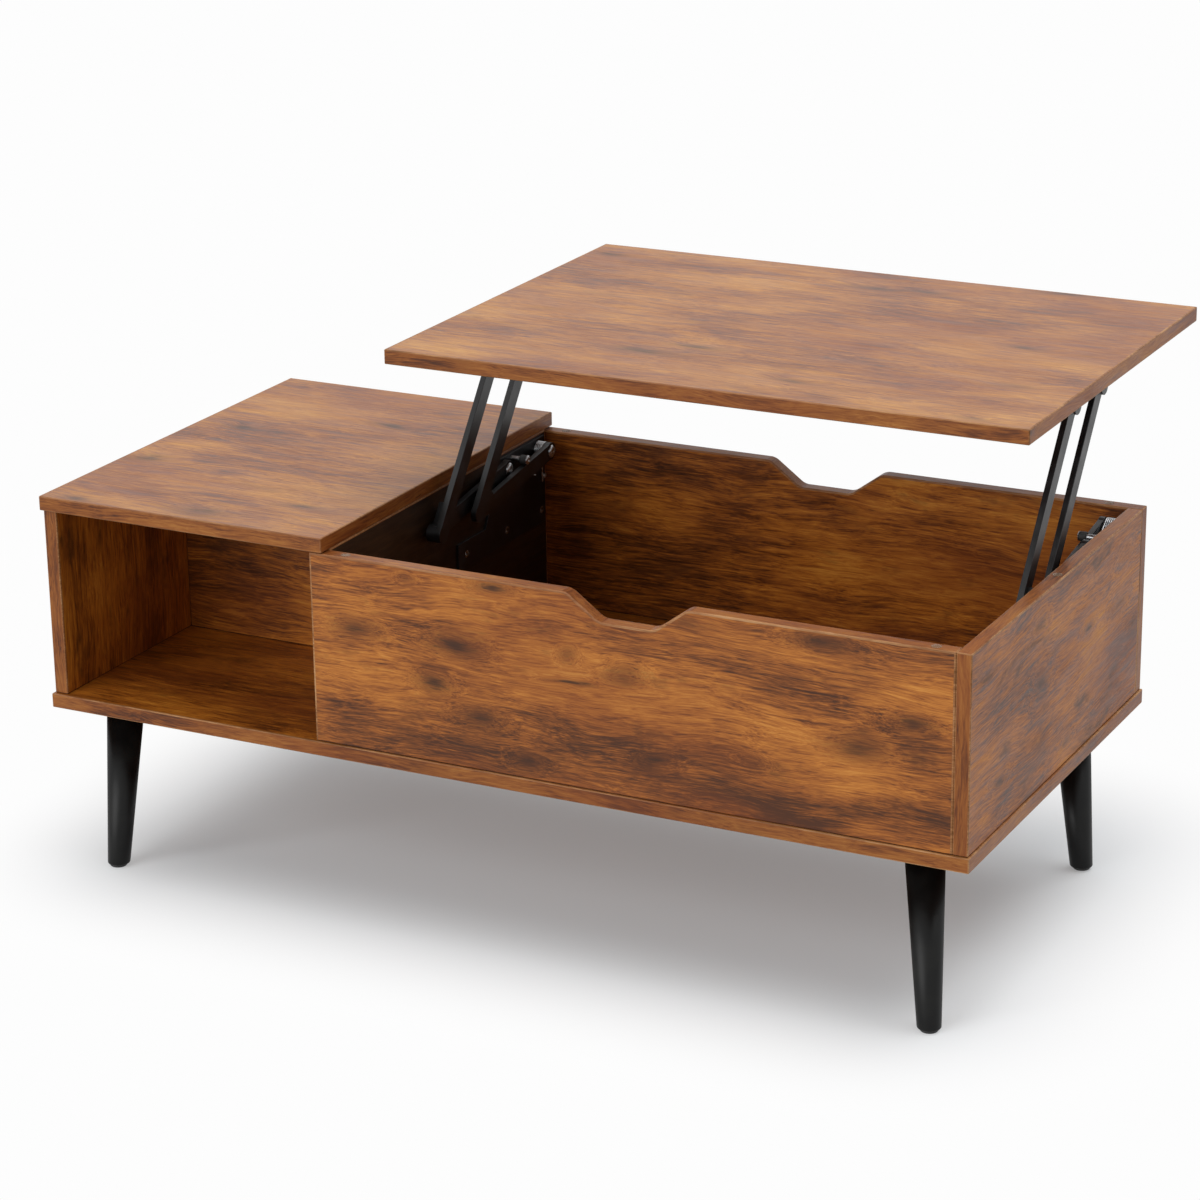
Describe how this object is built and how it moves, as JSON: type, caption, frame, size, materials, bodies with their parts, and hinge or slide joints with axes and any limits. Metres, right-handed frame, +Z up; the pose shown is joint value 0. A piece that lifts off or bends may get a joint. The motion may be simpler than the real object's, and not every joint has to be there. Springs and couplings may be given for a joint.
{
  "type": "lift top coffee table",
  "caption": "Long low coffee table with open shelves at one end and a storage well under a top that lifts on folding arms, on splayed tapered legs.",
  "frame": {"origin": "on the floor, below the middle of the table's overall box with the top raised", "axes": "+X along the table towards the storage end, +Y towards the back, +Z up"},
  "size_m": [1, 0.608, 0.562],
  "materials": {
    "wood_laminate": "satin wood-print laminate, orange brown with dark knots",
    "shaded_laminate": "satin wood-print laminate, darker brown",
    "leg_paint": "satin black paint on turned wood",
    "black_steel": "satin black powder coat",
    "zinc_steel": "bright zinc plate",
    "dowel_wood": "bare beech",
    "black_plastic": "matte",
    "buffer_rubber": "matte",
    "clear_pad": "soft milky"
  },
  "bodies": {
    "case": {"bottom_board": "wood_laminate", "left_side_panel": "wood_laminate", "divider_panel": "shaded_laminate", "right_side_panel": "wood_laminate", "front_panel": "wood_laminate", "back_panel": "wood_laminate", "shelf_back_panel": "shaded_laminate", "left_top_board": "wood_laminate", "front_left_leg": "leg_paint", "front_right_leg": "leg_paint", "rear_left_leg": "leg_paint", "rear_right_leg": "leg_paint", "foot_glides": "black_plastic", "leg_bolts": "zinc_steel", "leg_inserts": "zinc_steel", "panel_screws": "zinc_steel", "dowels": "dowel_wood", "bumper_pads": "clear_pad", "left_base_plate": "black_steel", "right_base_plate": "black_steel", "base_plate_screws": "zinc_steel", "front_base_pins": "zinc_steel", "rear_base_pins": "zinc_steel", "front_base_washers": "zinc_steel", "rear_base_spacers": "zinc_steel", "stop_studs": "zinc_steel", "stop_buffers": "buffer_rubber", "spring_anchors": "zinc_steel", "left_spring": "zinc_steel", "right_spring": "zinc_steel"},
    "front_arms": {"left_front_arm": "black_steel", "right_front_arm": "black_steel"},
    "rear_arms": {"left_rear_arm": "black_steel", "right_rear_arm": "black_steel"},
    "raised_top": {"lift_top": "wood_laminate", "left_top_bracket": "black_steel", "right_top_bracket": "black_steel", "bracket_screws": "zinc_steel", "front_top_pins": "zinc_steel", "rear_top_pins": "zinc_steel", "front_top_washers": "zinc_steel", "rear_top_washers": "zinc_steel"}
  },
  "joints": [
    {"name": "lift", "type": "hinge", "parent": "case", "child": "front_arms", "pos_m": [0, 0.058, 0.375], "axis": [1, 0, 0], "range_deg": [0, 82], "stiffness_Nm_per_rad": 1.2, "springref_deg": -22.92},
    {"name": "rear_arm_swing", "type": "hinge", "parent": "case", "child": "rear_arms", "pos_m": [0, 0.134, 0.375], "axis": [1, 0, 0], "range_deg": [0, 82], "deforming": ["left_spring", "right_spring"]},
    {"name": "top_level", "type": "hinge", "parent": "front_arms", "child": "raised_top", "pos_m": [0, 0.03173, 0.5271], "axis": [1, 0, 0], "range_deg": [-82, 0]}
  ],
  "couplings": [
    {"joint": "rear_arm_swing", "follows": "lift", "ratio": 1},
    {"joint": "top_level", "follows": "lift", "ratio": -1}
  ]
}
